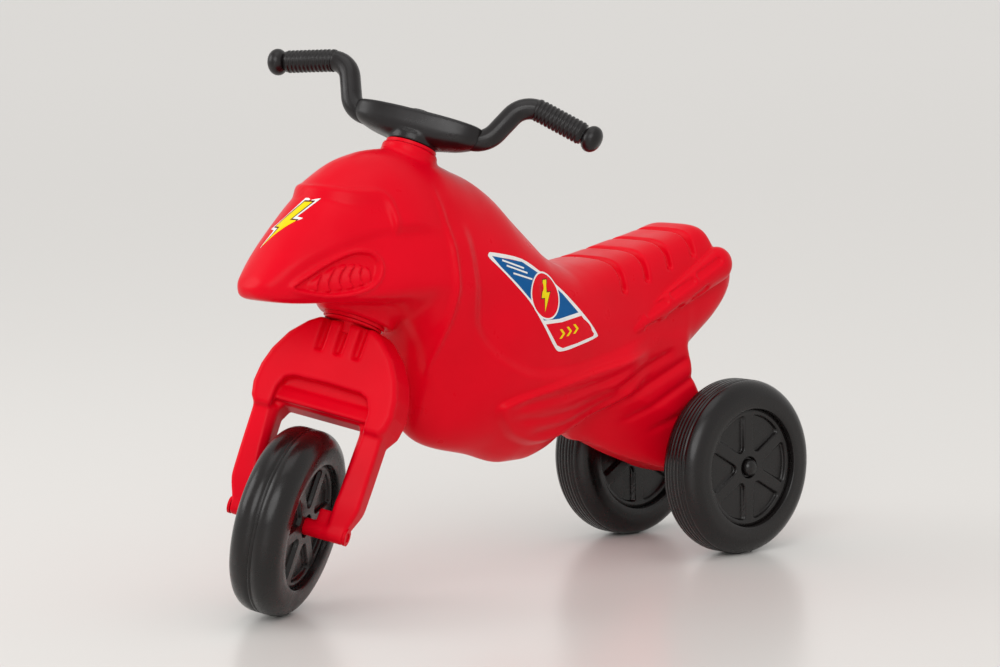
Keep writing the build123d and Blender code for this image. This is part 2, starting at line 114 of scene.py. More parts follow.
def smooth_line(points, closed=False, parts=6):
    """Points of a Catmull-Rom curve through a few chosen points."""
    p = np.array(points, float)
    if closed:
        p = np.vstack((p[-1], p, p[0], p[1]))
    else:
        p = np.vstack((2 * p[0] - p[1], p, 2 * p[-1] - p[-2]))
    out = []
    for a, b, c, d in zip(p[:-3], p[1:-2], p[2:-1], p[3:]):
        for t in np.arange(parts) / parts:
            square = (2 * a - 5 * b + 4 * c - d) * t**2
            cube = (3 * b - a - 3 * c + d) * t**3
            out.append(0.5 * (2 * b + (c - a) * t + square + cube))
    if not closed:
        out.append(p[-2])
    return np.array(out)


def line_distance(points, u, v):
    """Distance in a plane to a line of points, and how far along it the nearest place is, 0 to 1."""
    best = np.full(np.broadcast(u, v).shape, 1e9)
    along = np.zeros_like(best)
    count = len(points) - 1
    for i in range(count):
        (ax, ay), (bx, by) = points[i], points[i + 1]
        dx, dy = bx - ax, by - ay
        t = np.clip(((u - ax) * dx + (v - ay) * dy) / max(dx * dx + dy * dy, 1e-9), 0, 1)
        d = np.hypot(u - ax - t * dx, v - ay - t * dy)
        along = np.where(d < best, (i + t) / count, along)
        best = np.minimum(best, d)
    return best, along


def outline_distance(points, u, v):
    """Signed distance in a plane to a closed outline, negative inside."""
    ring = np.vstack((points, points[:1]))
    distance, _ = line_distance(ring, u, v)
    inside = np.zeros(distance.shape, bool)
    for (ax, ay), (bx, by) in zip(ring[:-1], ring[1:]):
        if ay != by:
            crosses = (ay > v) != (by > v)
            inside ^= crosses & (u < (bx - ax) * (v - ay) / (by - ay) + ax)
    return np.where(inside, -distance, distance)


def side_of_line(points, u, v):
    """Signed distance to an open line: positive on its left side."""
    distance, _ = line_distance(points, u, v)
    best = np.full(distance.shape, 1e9)
    sign = np.ones(distance.shape)
    for (ax, ay), (bx, by) in zip(points[:-1], points[1:]):
        dx, dy = bx - ax, by - ay
        t = np.clip(((u - ax) * dx + (v - ay) * dy) / (dx * dx + dy * dy), 0, 1)
        d = np.hypot(u - ax - t * dx, v - ay - t * dy)
        left = np.sign(dx * (v - ay) - dy * (u - ax))
        sign = np.where(d < best - 1e-6, left, sign)
        best = np.minimum(best, d)
    return sign * distance


def slab(flat, thick, half, edge):
    """An outline's distance field made into a plate of that half thickness with rounded edges."""
    a, b = flat + edge, np.abs(thick) - half + edge
    return np.minimum(np.maximum(a, b), 0) + np.hypot(np.maximum(a, 0), np.maximum(b, 0)) - edge


def lattice(low, high, step):
    """x, y and z of a regular grid of points."""
    axes = [np.arange(a, b + step / 2, step) for a, b in zip(low, high)]
    return np.meshgrid(*axes, indexing="ij", sparse=True)


def as_distance(field, step):
    """Scales a field so that it grows by about 1 per millimetre near its surface."""
    slopes = np.gradient(field, step)
    size = np.sqrt(sum(s * s for s in slopes))
    return np.clip(field / np.maximum(size, 1e-6), -60, 60)


def soften(field, rounds):
    """Evens out a field over its neighbours."""
    for _ in range(rounds):
        for axis in range(3):
            padded = np.concatenate(
                (np.take(field, [0], axis), field, np.take(field, [-1], axis)), axis
            )
            n = field.shape[axis]
            low, mid, high = (np.take(padded, range(k, k + n), axis) for k in range(3))
            field = 0.25 * low + 0.5 * mid + 0.25 * high
    return field


def skin(name, field, low, step, mirrored=False, matrix=None):
    """The surface of a distance field, as a smooth-shaded mesh object in metres."""
    if mirrored:
        field = np.concatenate((field[:0:-1], field), 0)
        low = (low[0] - step * (field.shape[0] // 2), low[1], low[2])
    grid = openvdb.FloatGrid(10.0)
    grid.copyFromArray(np.ascontiguousarray(np.pad(field, 1, constant_values=10.0), np.float32))
    points, quads = grid.convertToQuads()
    points = (points - 1) * step + np.array(low)
    return mesh_object(name, points, quads, matrix)


def mesh_object(name, points, faces, matrix=None, smooth=True):
    """A mesh object from points in millimetres, in place."""
    data = bpy.data.meshes.new(name)
    data.from_pydata((np.array(points) * MM).tolist(), [], [list(map(int, f)) for f in faces])
    if matrix is not None:
        scaled = matrix.copy()
        scaled.translation = scaled.translation * MM
        data.transform(scaled)
    data.validate()
    data.update()
    for polygon in data.polygons:
        polygon.use_smooth = smooth
    piece = bpy.data.objects.new(name, data)
    bpy.context.scene.collection.objects.link(piece)
    return piece


def ring_faces(rows, columns, first=0, flip=False):
    """Quads between rows of closed rings."""
    faces = []
    for r in range(rows - 1):
        for c in range(columns):
            a, b = first + r * columns + c, first + r * columns + (c + 1) % columns
            quad = (a, b, b + columns, a + columns)
            faces.append(quad[::-1] if flip else quad)
    return faces


# ---------------------------------------------------------------- materials


def new_material(name, colour, roughness, specular=0.3):
    """A Principled material and the handles used to add detail to it."""
    made = bpy.data.materials.new(name)
    made.use_nodes = True
    tree = made.node_tree
    shader = tree.nodes["Principled BSDF"]
    shader.inputs["Base Color"].default_value = (*colour, 1)
    shader.inputs["Roughness"].default_value = roughness
    shader.inputs["Specular IOR Level"].default_value = specular
    made.diffuse_color = (*colour, 1)
    return made, tree, shader


def noise(tree, scale, detail=3.0):
    """A noise texture fixed to the piece."""
    place = tree.nodes.new("ShaderNodeTexCoord")
    texture = tree.nodes.new("ShaderNodeTexNoise")
    texture.inputs["Scale"].default_value = scale
    texture.inputs["Detail"].default_value = detail
    tree.links.new(place.outputs["Object"], texture.inputs["Vector"])
    return texture.outputs["Fac"]


def spread(tree, value, low, high):
    """Maps a 0.3 to 0.7 noise value to a range."""
    node = tree.nodes.new("ShaderNodeMapRange")
    node.inputs["From Min"].default_value = 0.3
    node.inputs["From Max"].default_value = 0.7
    node.inputs["To Min"].default_value = low
    node.inputs["To Max"].default_value = high
    tree.links.new(value, node.inputs["Value"])
    return node.outputs["Result"]


def tint(tree, shader, factor, colour_a, colour_b):
    """Base colour that drifts between two close colours."""
    mix = tree.nodes.new("ShaderNodeMix")
    mix.data_type = "RGBA"
    mix.inputs["A"].default_value = (*colour_a, 1)
    mix.inputs["B"].default_value = (*colour_b, 1)
    tree.links.new(factor, mix.inputs["Factor"])
    tree.links.new(mix.outputs["Result"], shader.inputs["Base Color"])


def grain(tree, shader, scale, strength, distance, detail=4.0):
    """Fine surface relief, chained after any relief already there."""
    bump = tree.nodes.new("ShaderNodeBump")
    bump.inputs["Strength"].default_value = strength
    bump.inputs["Distance"].default_value = distance
    tree.links.new(noise(tree, scale, detail), bump.inputs["Height"])
    before = shader.inputs["Normal"].links
    if before:
        tree.links.new(before[0].from_socket, bump.inputs["Normal"])
    tree.links.new(bump.outputs["Normal"], shader.inputs["Normal"])


RED = (0.77, 0.0006, 0.0135)
RED_DEEP = (0.71, 0.0005, 0.0115)


def red_plastic(name, roughness, grain_strength):
    """Glossy moulded polyethylene with slight mottling and a fine orange-peel skin."""
    made, tree, shader = new_material(name, RED, roughness, 0.09)
    tint(tree, shader, spread(tree, noise(tree, 14.0), 0, 1), RED, RED_DEEP)
    tree.links.new(
        spread(tree, noise(tree, 40.0, 5.0), roughness - 0.05, roughness + 0.06),
        shader.inputs["Roughness"],
    )
    grain(tree, shader, 260.0, grain_strength, 0.0006)
    grain(tree, shader, 1500.0, grain_strength * 0.6, 0.0002)
    return made


def black_plastic(name, colour, roughness, grain_scale, grain_strength):
    """Satin black moulded plastic, a little greyer where it has been handled."""
    made, tree, shader = new_material(name, colour, roughness, 0.4)
    worn = tuple(c * 1.7 for c in colour)
    tint(tree, shader, spread(tree, noise(tree, 22.0), 0, 0.8), colour, worn)
    tree.links.new(
        spread(tree, noise(tree, 60.0, 6.0), roughness - 0.06, roughness + 0.08),
        shader.inputs["Roughness"],
    )
    grain(tree, shader, grain_scale, grain_strength, 0.0003)
    return made


def steel_finish():
    made, tree, shader = new_material("zinc_steel", (0.56, 0.57, 0.58), 0.3)
    shader.inputs["Metallic"].default_value = 1.0
    tree.links.new(spread(tree, noise(tree, 300.0, 6.0), 0.24, 0.42), shader.inputs["Roughness"])
    grain(tree, shader, 900.0, 0.08, 0.0002)
    return made


def film_ink(name, colour):
    """Printed vinyl film: smooth, with the faintest ripple."""
    made, tree, shader = new_material(name, colour, 0.34, 0.12)
    shade = tuple(c * 0.93 for c in colour)
    tint(tree, shader, spread(tree, noise(tree, 120.0), 0, 1), colour, shade)
    grain(tree, shader, 500.0, 0.05, 0.0003)
    return made


BODY_RED = red_plastic("red_shell_plastic", 0.32, 0.10)
FORK_RED = red_plastic("red_fork_plastic", 0.33, 0.06)
WHEEL_BLACK = black_plastic("black_wheel_plastic", (0.0042, 0.0032, 0.0032), 0.26, 420.0, 0.10)
BAR_BLACK = black_plastic("black_bar_plastic", (0.0042, 0.0030, 0.0034), 0.30, 900.0, 0.14)
BUSH_BLACK = black_plastic("black_bush_plastic", (0.012, 0.011, 0.011), 0.4, 700.0, 0.12)
STEEL = steel_finish()
INK_WHITE = film_ink("ink_white", (0.86, 0.85, 0.84))
INK_BLUE = film_ink("ink_blue", (0.002, 0.10, 0.32))
INK_RED = film_ink("ink_red", (0.78, 0.001, 0.014))
INK_YELLOW = film_ink("ink_yellow", (0.92, 0.72, 0.004))
INK_DARK = film_ink("ink_dark", (0.10, 0.012, 0.012))


def dress(piece, *materials):
    """Gives a piece its materials, in the order its faces count them."""
    piece.data.materials.clear()
    for material in materials:
        piece.data.materials.append(material)


# ---------------------------------------------------------------- body shell
BODY_STEP = 1.6
BODY_LOW = (0.0, -312.0, 62.0)
BODY_HIGH = (90.0, 312.0, 444.0)

# upper hull: fairing, tank, seat and tail, by place along the toy
TOP_LINE = [
    (-306, 312), (-302, 318.5), (-296, 327), (-287, 338.5), (-266, 363), (-245, 383.5), (-231, 396.5),
    (-210, 412), (-183, 425), (-153, 431), (-130, 433), (-106, 428), (-85, 420), (-65, 411), (-46, 403),
    (-27, 391), (-8, 372.5), (12, 353), (31, 333.5), (51, 318), (66, 309.5), (82, 307.5), (100, 308.5),
    (127, 312), (153, 316.5), (172, 320.5), (196, 325.5), (215, 329), (239, 334.5), (252, 337.5),
    (259, 336), (265, 327), (272, 318), (283, 311), (304, 300),
]
UNDER_LINE = [
    (-306, 308), (-300, 304), (-290, 301), (-270, 298), (-240, 296), (-195, 294), (-165, 288),
    (-140, 268), (-120, 232), (-100, 196), (-80, 170), (-40, 150), (20, 150), (80, 160), (140, 166),
    (170, 172), (200, 186), (229, 204.5), (254, 222.5), (269, 233), (286, 248), (296, 259), (304, 275),
]
WIDE_LINE = [
    (-306, 8), (-302, 15), (-296, 24), (-290, 30), (-280, 38), (-260, 49), (-230, 62), (-200, 71),
    (-170, 77), (-140, 80), (-90, 80.5), (-40, 79), (5, 75.5), (45, 70), (80, 65), (120, 60),
    (185, 55), (250, 51), (280, 47), (296, 40), (304, 30),
]
WAIST_LINE = [
    (-306, 315), (-240, 314), (-155, 311), (-90, 306), (-38, 300), (5, 290), (45, 280), (80, 270),
    (120, 262), (185, 262), (250, 277), (304, 289),
]
TOP_ROUND = [
    (-306, 2.0), (-231, 1.95), (-60, 1.85), (20, 1.72), (50, 1.9), (80, 2.7), (115, 3.5), (200, 4.0),
    (262, 4.0), (304, 2.6),
]
UNDER_ROUND = [
    (-306, 4.0), (-200, 3.6), (-165, 2.4), (-135, 1.5), (-90, 1.5), (-40, 1.9), (120, 2.2), (200, 3.0),
    (254, 3.4), (304, 3.0),
]

# lower hull: the belly behind the fork
BELLY_TOP = [(-122, 320), (100, 300), (214, 270)]
BELLY_LINE = [
    (-122, 182), (-118, 168), (-110, 155), (-90, 142), (-40, 128), (6, 115), (28, 115), (50, 120),
    (72, 131), (120, 154), (170, 180), (214, 202),
]
BELLY_WIDE = [
    (-122, 18), (-118, 27), (-111, 35), (-100, 43), (-86, 51), (-70, 60), (-54, 67), (-38, 72),
    (-20, 74), (0, 74), (40, 71), (80, 65), (120, 59), (170, 52), (214, 42),
]
BELLY_WAIST = [(-122, 262), (-40, 258), (40, 250), (120, 246), (214, 250)]
BELLY_ROUND = [(-122, 2.4), (-80, 2.1), (-20, 1.85), (214, 1.8)]

SKIRT_OUTLINE = [
    (70, 225), (78, 160), (98, 130), (120, 123), (140, 114), (160, 105), (195, 92), (240, 77.5),
    (268, 72), (284, 80), (284, 97), (265, 131), (246, 160), (234, 182), (231, 200), (224, 214), (205, 232),
]
HULL_REACH = 304.0
BELLY_MIDDLE = 46.0
BELLY_REACH = 167.0
BELLY_BLEND = 20.0

SKIRT_HALF = 46.0
SKIRT_TOP_HALF = 51.0
SKIRT_FOOT = [(70, 132), (100, 128), (140, 114), (195, 92), (240, 78), (290, 72)]
SKIRT_WIDE = [
    (70, 5), (100, 8), (140, 14), (175, 21), (195, 27), (215, 34), (240, 43), (262, 46), (290, 46),
]
SKIRT_RISE = 58.0
COLLAR_RADIUS = 27.5
COLLAR_TOP = 376.6
LOWER_COLLAR_RADIUS = 38.0
LOWER_COLLAR_BOTTOM = 201.8
BUSH_RADIUS = 20.0
AXLE_HOLE_RADIUS = 8.0


def hull(x, y, z, top, under, wide, waist, top_round, under_round):
    """A loft of superellipse sections along the toy, as an implicit field."""
    middle = curve(waist, y)
    upper = z >= middle
    height = np.maximum(np.where(upper, curve(top, y) - middle, middle - curve(under, y)), 1.0)
    power = np.where(upper, curve(top_round, y), curve(under_round, y))
    across = np.abs(x) / curve(wide, y)
    return (across**power + (np.abs(z - middle) / height) ** power) ** (1 / power) - 1


def neck_cylinder(radial, height, radius, bottom, top, edge):
    middle, half = (bottom + top) / 2, (top - bottom) / 2
    return slab(radial - radius, height - middle, half, edge)


# detail lines, in the side view (y, z) unless said otherwise
BROW_LINE = [
    (-318, 312), (-290, 322), (-262, 337), (-228, 352), (-196, 361), (-160, 363), (-122, 357), (-90, 346),
]
LAMP_RIM = [
    (-280, 314), (-262, 328), (-240, 340), (-221, 346), (-205, 344), (-197, 334), (-199, 322),
    (-208, 312), (-224, 306), (-244, 304), (-263, 307),
]
LAMP_LENS = [
    (-265, 316), (-253, 325), (-238, 332), (-222, 334), (-208, 328), (-208, 318), (-222, 312),
    (-246, 309), (-260, 311),
]
LAMP_RIBS = 6
LAMP_FRONT = -265.0
LAMP_LENGTH = 57.0
SCREEN_LIP = [    # (x, y)
    (-20, -234), (0, -233), (20, -228), (38, -216), (50, -199), (57, -184), (66, -180), (80, -184),
]
PANEL_LINE = [
    (-96, 372), (-95, 345), (-92, 308), (-85, 267), (-64, 239), (-32, 219), (-5, 211), (31, 209),
    (75, 213), (120, 220), (165, 232),
]
SEAT_GROOVES = [(127, 279), (163, 287), (198, 297), (234, 307)]      # (y, lower end)
GROOVE_DEPTH = 6.0
LEAF_OUTLINE = [
    (-47, 183), (-23, 192), (6, 198), (64, 208), (124, 215), (165, 222), (185, 212), (160, 186),
    (128, 168), (98, 155), (68, 143), (38, 136), (9, 136), (-17, 145), (-35, 158), (-46, 171),
]
LEAF_FOLDS = [
    [(-40, 177), (0, 184), (60, 190), (100, 196), (150, 210)],
    [(-36, 169), (0, 165), (43, 167), (82, 174), (133, 190), (172, 208)],
    [(-8, 150), (36, 151), (84, 163), (120, 178), (150, 194)],
]
POD_START = (58.5, 138.0, 241.0)
POD_END = (49.5, 266.0, 296.0)
POD_RADII = (6.0, 18.5)
POD_SLOTS = [((156, 255), (180, 265)), ((191, 271), (219, 283)), ((229, 288), (258, 301))]
POD_NOTCHES = [((154, 241), (170, 246)), ((188, 251), (204, 259)), ((222, 266), (240, 275))]
SKIRT_FOLDS = [
    [(105, 178), (150, 196), (205, 214)],
    [(110, 158), (165, 180), (232, 205)],
    [(130, 140), (190, 165), (240, 186)],
    [(170, 128), (215, 146), (252, 164)],
]
PANEL_STEP = 5.5
LEAF_HEIGHT = 6.5
SKIRT_RIDGE = [(90, 131), (140, 110), (200, 93), (262, 80)]


def side_relief(y, z):
    """How far the sides stand out from the plain hull, by place in the side view."""
    relief = np.zeros(np.broadcast(y, z).shape)
    # the flank in front of and under the recessed side panel stands proud of it
    panel_line = smooth_line(PANEL_LINE)
    panel = side_of_line(panel_line, y, z)
    _, place = line_distance(panel_line, y, z)
    ends = ramp(place, 0.01, 0.12) * (1 - ramp(place, 0.9, 0.99))
    relief += PANEL_STEP * ends * ramp(-panel, -7, 7) * np.exp(-(np.maximum(-panel, 0) / 50) ** 2)
    # brow over the lamp: the fairing steps in below it and eases out again
    brow = side_of_line(smooth_line(BROW_LINE), y, z)
    front = 1 - ramp(y, -175, -95)
    relief -= 3.2 * ramp(-brow, -6, 7) * front * (1 - ramp(-brow, 22, 55))
    # lamp: raised rim, dished surround, ribbed lens
    rim = outline_distance(smooth_line(LAMP_RIM, closed=True), y, z)
    relief += 2.6 * np.exp(-((rim + 1) / 2.6) ** 2)
    relief -= 3.6 * ramp(-rim, 1, 5)
    lens = outline_distance(smooth_line(LAMP_LENS, closed=True), y, z)
    along = (y - LAMP_FRONT) / LAMP_LENGTH
    rib = (along * LAMP_RIBS - 0.9 * ((z - 312 - 12 * along) / 14) ** 2) % 1.0
    relief += ramp(-lens, -0.5, 1.5) * (0.6 + 4.2 * rib * (1 - ramp(rib, 0.82, 1.0)))
    # folded leaf low on the flank
    leaf = outline_distance(smooth_line(LEAF_OUTLINE, closed=True), y, z)
    fade = 1 - ramp(y, 105, 175)
    relief += LEAF_HEIGHT * ramp(-leaf, -1.5, 5) * fade
    for fold in LEAF_FOLDS:
        distance, place = line_distance(smooth_line(fold), y, z)
        relief -= 2.6 * np.exp(-(distance / 5) ** 2) * ramp(place, 0, 0.15) * (1 - ramp(place, 0.7, 1))
    # folds and edge ridge of the skirt
    for fold in SKIRT_FOLDS:
        distance, place = line_distance(smooth_line(fold), y, z)
        relief -= 2.2 * np.exp(-(distance / 4.5) ** 2) * ramp(place, 0, 0.2) * (1 - ramp(place, 0.85, 1))
    distance, _ = line_distance(smooth_line(SKIRT_RIDGE), y, z)
    relief += 2.5 * np.exp(-(distance / 7) ** 2)
    return relief


def tail_pod(x, y, z):
    """The slotted pod on each side of the tail: a tapered round bar, flattened outside."""
    start, end = np.array(POD_START), np.array(POD_END)
    axis = end - start
    length2 = float(axis @ axis)
    along = (x - start[0]) * axis[0] + (y - start[1]) * axis[1] + (z - start[2]) * axis[2]
    t = np.clip(along / length2, 0, 1)
    radius = POD_RADII[0] + (POD_RADII[1] - POD_RADII[0]) * t**0.75
    dx, dy, dz = (v - start[k] - t * axis[k] for k, v in enumerate((x, y, z)))
    field = np.sqrt((dx * 1.25) ** 2 + dy**2 + dz**2) - radius
    groove = np.zeros(np.broadcast(y, z).shape)
    for slots, depth, width in ((POD_SLOTS, 2.8, 3.0), (POD_NOTCHES, 2.6, 2.6)):
        for a, b in slots:
            distance, _ = line_distance(np.array((a, b), float), y, z)
            groove += depth * (1 - ramp(distance, width - 0.8, width + 1.6))
    return field + groove * ramp(x, 50, 54)


def make_body():
    x, y, z = lattice(BODY_LOW, BODY_HIGH, BODY_STEP)
    upper = hull(x, y, z, TOP_LINE, UNDER_LINE, WIDE_LINE, WAIST_LINE, TOP_ROUND, UNDER_ROUND)
    lower = hull(x, y, z, BELLY_TOP, BELLY_LINE, BELLY_WIDE, BELLY_WAIST, BELLY_ROUND, BELLY_ROUND)
    upper = as_distance(upper, BODY_STEP)
    upper = keep(upper, np.abs(y) - HULL_REACH, 6)
    lower = as_distance(lower, BODY_STEP)
    lower = keep(lower, np.abs(y - BELLY_MIDDLE) - BELLY_REACH, 8)
    field = join(upper, lower, BELLY_BLEND)
    # skirt that carries the rear axle
    outline = outline_distance(smooth_line(SKIRT_OUTLINE, closed=True, parts=4), y, z)
    foot = curve(SKIRT_WIDE, y)
    rise = np.clip((z - curve(SKIRT_FOOT, y)) / SKIRT_RISE, 0, 1)
    half = foot + (SKIRT_TOP_HALF - foot) * rise**0.85
    field = join(field, slab(outline, x * SKIRT_HALF / half, SKIRT_HALF, 7), 12)
    # collars on the steering axis
    height = (y - FRONT_Y) * NECK_AXIS[1] + (z - WHEEL_RADIUS) * NECK_AXIS[2]
    radial = np.hypot(x, (y - FRONT_Y) * NECK_REAR[1] + (z - WHEEL_RADIUS) * NECK_REAR[2])
    lower_collar = neck_cylinder(radial, height, LOWER_COLLAR_RADIUS, LOWER_COLLAR_BOTTOM, 262, 4)
    field = join(field, lower_collar, 12)
    field = soften(field, 3)
    # moulded relief of the sides, then of the top
    relief = side_relief(y, z)
    field = field - relief * ramp(x, 24, 40)
    cap = side_of_line(smooth_line(SCREEN_LIP), x, y)
    on_top = ramp(z, 352, 372) * (1 - ramp(y, -165, -110))
    field = field - on_top * (3.6 * ramp(cap, -1.8, 1.8) + 1.4 * np.exp(-((cap - 3) / 3.2) ** 2))
    for place, end in SEAT_GROOVES:
        behind = y - place
        across = ramp(behind, -7, -2.2) * (1 - ramp(behind, 0.0, 2.4))
        field = field + GROOVE_DEPTH * across * ramp(z, end - 2, end + 2)
    field = join(field, tail_pod(x, y, z), 1.2)
    upper_collar = neck_cylinder(radial, height, COLLAR_RADIUS, 330, COLLAR_TOP, 2)
    field = join(field, upper_collar, 5)
    # bores for the steering bushes and the rear axle
    bore = neck_cylinder(radial, height, BUSH_RADIUS, 190, 390, 0.5)
    field = cut(field, bore, 1.5)
    axle_hole = np.hypot(y - REAR_Y, z - WHEEL_RADIUS) - AXLE_HOLE_RADIUS + 0 * x
    field = cut(field, axle_hole, 1.0)
    body = skin("body", field, BODY_LOW, BODY_STEP, mirrored=True)
    dress(body, BODY_RED)
    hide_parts("body_shell")
    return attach(body, "body")


body = make_body()

# ---------------------------------------------------------------- stickers
DECAL_LIFT = 0.3


def decal_net(outlines, spacing):
    """One flat net of triangles that holds every outline, with the top-most outline of each."""
    outlines = [np.array(o, float) for o in outlines]
    low, high = outlines[0].min(0), outlines[0].max(0)
    u, v = np.meshgrid(np.arange(low[0], high[0], spacing), np.arange(low[1], high[1], spacing))
    inner = outline_distance(outlines[0], u, v) < -spacing * 0.4
    points, edges = [], []
    for outline in outlines:
        first, count = len(points), len(outline)
        points += [Vector(p) for p in outline]
        edges += [(first + i, first + (i + 1) % count) for i in range(count)]
    points += [Vector(p) for p in zip(u[inner], v[inner])]
    flat, _, faces, *_ = delaunay_2d_cdt(points, edges, [], 1, 1e-4)
    centres = np.array([sum((flat[i] for i in t), Vector((0, 0))) / 3 for t in faces])
    top = np.zeros(len(faces), int)
    for level, outline in enumerate(outlines):
        top[outline_distance(outline, centres[:, 0], centres[:, 1]) < 0] = level
    return flat, faces, top


def side_projector(tree, side):
    """Lays plane points (y, z) on the body's left (1) or right (-1) side."""
    def lay(point):
        start = Vector((side * 0.2, point[0] * MM, point[1] * MM))
        hit, normal, *_ = tree.ray_cast(start, Vector((-side, 0, 0)))
        return (hit + normal * DECAL_LIFT * MM) / MM
    return lay


def front_projector(tree):
    """Lays plane points (x, z) on the body's nose."""
    def lay(point):
        start = Vector((point[0] * MM, -0.5, point[1] * MM))
        hit, normal, *_ = tree.ray_cast(start, Vector((0, 1, 0)))
        return (hit + normal * DECAL_LIFT * MM) / MM
    return lay


def decal(name, layers, lay, spacing, replaced, flip):
    """One sticker: a film on the body, inked by the top-most layer at each place."""
    flat, faces, top = decal_net([outline for outline, _ in layers], spacing)
    if flip:
        faces = [t[::-1] for t in faces]
    piece = mesh_object(name, [tuple(lay(p)) for p in flat], faces)
    inks = [layers[level][1] for level in top]
    used = list(dict.fromkeys(inks))
    dress(piece, *used)
    for polygon, ink in zip(piece.data.polygons, inks):
        polygon.material_index = used.index(ink)
    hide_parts(replaced)
    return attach(piece, "body")


def widened(outline, amount):
    """The outline moved outwards by an amount, with its corners kept."""
    back = outline - np.roll(outline, 1, 0)
    on = np.roll(outline, -1, 0) - outline
    back /= np.linalg.norm(back, axis=1)[:, None]
    on /= np.linalg.norm(on, axis=1)[:, None]
    area = np.sum(outline[:, 0] * np.roll(outline[:, 1], -1) - np.roll(outline[:, 0], -1) * outline[:, 1])
    turn = 1 if area > 0 else -1
    normal_back = np.stack((back[:, 1], -back[:, 0]), 1) * turn
    normal_on = np.stack((on[:, 1], -on[:, 0]), 1) * turn
    middle = normal_back + normal_on
    reach = amount * 2 / np.maximum(np.sum(middle**2, axis=1), 1.0)
    return outline + middle * reach[:, None]


def disc_outline(centre, radius_u, radius_v, tilt, count=40):
    angle = np.arange(count) * tau / count
    u, v = radius_u * np.cos(angle), radius_v * np.sin(angle)
    c, s = cos(radians(tilt)), sin(radians(tilt))
    return np.stack((centre[0] + c * u - s * v, centre[1] + s * u + c * v), 1)


def bar_outline(a, b, width):
    """A straight bar from a to b."""
    a, b = np.array(a, float), np.array(b, float)
    along = (b - a) / np.linalg.norm(b - a)
    across = np.array((-along[1], along[0])) * width / 2
    return np.array((a - across, b - across, b + across, a + across))


BOLT_SHAPE = [
    (0.1, 1.0), (0.62, 1.0), (0.22, 0.2), (0.68, 0.2), (-0.42, -1.0), (-0.1, -0.12), (-0.52, -0.12),
]


def bolt_outline(centre, half_width, half_height, lean=0.0):
    """A plain lightning bolt."""
    return np.array([
        (centre[0] + half_width * u + lean * v, centre[1] + half_height * v) for u, v in BOLT_SHAPE
    ])


SIDE_OUTLINE = [
    (-72, 333.5), (-65, 334), (-27, 325), (1, 309), (28, 289.5), (54, 266), (75, 244), (74, 239),
    (47, 233.5), (24, 230.5), (13, 235), (-5, 260), (-21, 283), (-41, 302), (-60, 319), (-72, 329.5),
]
SIDE_DISC = (1.0, 287.0)
SIDE_BLUE = [
    (-68, 331), (-27, 322), (0, 306.5), (27, 286.5), (48, 266.5), (18, 263), (-3.5, 263.5),
    (-18, 283.5), (-38, 302.5), (-58, 320),
]
SIDE_LOWER = [
    (-1, 259.5), (22, 259.5), (52, 263), (71, 243.5), (70, 241), (46, 236.5), (24.5, 233.5), (16, 237),
]
SIDE_STRIPES = [((-55, 326), (-26, 316)), ((-50, 320.5), (-22, 311)), ((-42, 312.5), (-16, 304.5))]
CHEVRONS = [(22, 248), (32, 249.5), (42, 251)]


def chevron(centre, size=4.6, thick=3.4):
    u, v = centre
    return [
        (u - thick, v + size), (u, v + size), (u + size, v), (u, v - size), (u - thick, v - size),
        (u + size - thick, v),
    ]


def make_stickers():
    tree = BVHTree.FromObject(body, bpy.context.evaluated_depsgraph_get())
    side_bolt = bolt_outline(SIDE_DISC, 11.0, 15.5, -2.5)
    side_layers = [
        (smooth_line(SIDE_OUTLINE, closed=True, parts=4), INK_WHITE),
        (SIDE_BLUE, INK_BLUE),
        (SIDE_LOWER, INK_RED),
        *[(bar_outline(a, b, 1.7), INK_WHITE) for a, b in SIDE_STRIPES],
        (disc_outline(SIDE_DISC, 20.0, 24.0, 20), INK_WHITE),
        (disc_outline(SIDE_DISC, 18.3, 22.3, 20), INK_RED),
        (widened(side_bolt, 0.9), INK_DARK),
        (side_bolt, INK_YELLOW),
        *[(chevron(c), INK_YELLOW) for c in CHEVRONS],
    ]
    for side, name in ((1, "side_sticker_left"), (-1, "side_sticker_right")):
        decal(f"{name}_film", side_layers, side_projector(tree, side), 5.0, name, side < 0)
    bolt = bolt_outline((0, 370), 17, 20, 4.0)
    front_layers = [(widened(bolt, 3.4), INK_WHITE), (widened(bolt, 1.3), INK_DARK), (bolt, INK_YELLOW)]
    decal("front_sticker_film", front_layers, front_projector(tree), 3.0, "front_sticker", False)


make_stickers()

# ---------------------------------------------------------------- fork
FORK_STEP = 1.2
FORK_LOW = (0.0, -27.0, -12.0)
FORK_HIGH = (82.0, 27.0, 210.0)
CROWN_OUTLINE = [
    (0, 195), (27, 194), (38, 187), (53, 172), (64, 153), (69.5, 136), (71.5, 118), (69, 105),
    (64, 98), (45, 98), (40, 107), (0, 107),
]
CROWN_FRONT = 20.0
CROWN_BACK = -17.0
CROWN_DRAFT = 0.16
WINDOW_OUTLINE = [(0, 133.5), (34, 132.5), (42, 129), (47, 118), (48, 98), (48, 80), (0, 80)]
WINDOW_DEPTH = 13.0
CROWN_FLUTES = [0.0, 19.0]
BOSS_RADIUS = 8.2
BOSS_INNER = 15.2
BOSS_OUTER = 58.0


def mirrored_outline(half):
    return np.array(half + [(-u, v) for u, v in reversed(half) if u > 0], float)


def box_field(x, y, z, low, high, edge):
    """A block with rounded edges."""
    parts = []
    for v, a, b in zip((x, y, z), low, high):
        parts.append(np.abs(v - (a + b) / 2) - (b - a) / 2 + edge)
    outside = np.sqrt(sum(np.maximum(p, 0) ** 2 for p in parts))
    return outside + np.minimum(np.maximum(np.maximum(parts[0], parts[1]), parts[2]), 0) - edge


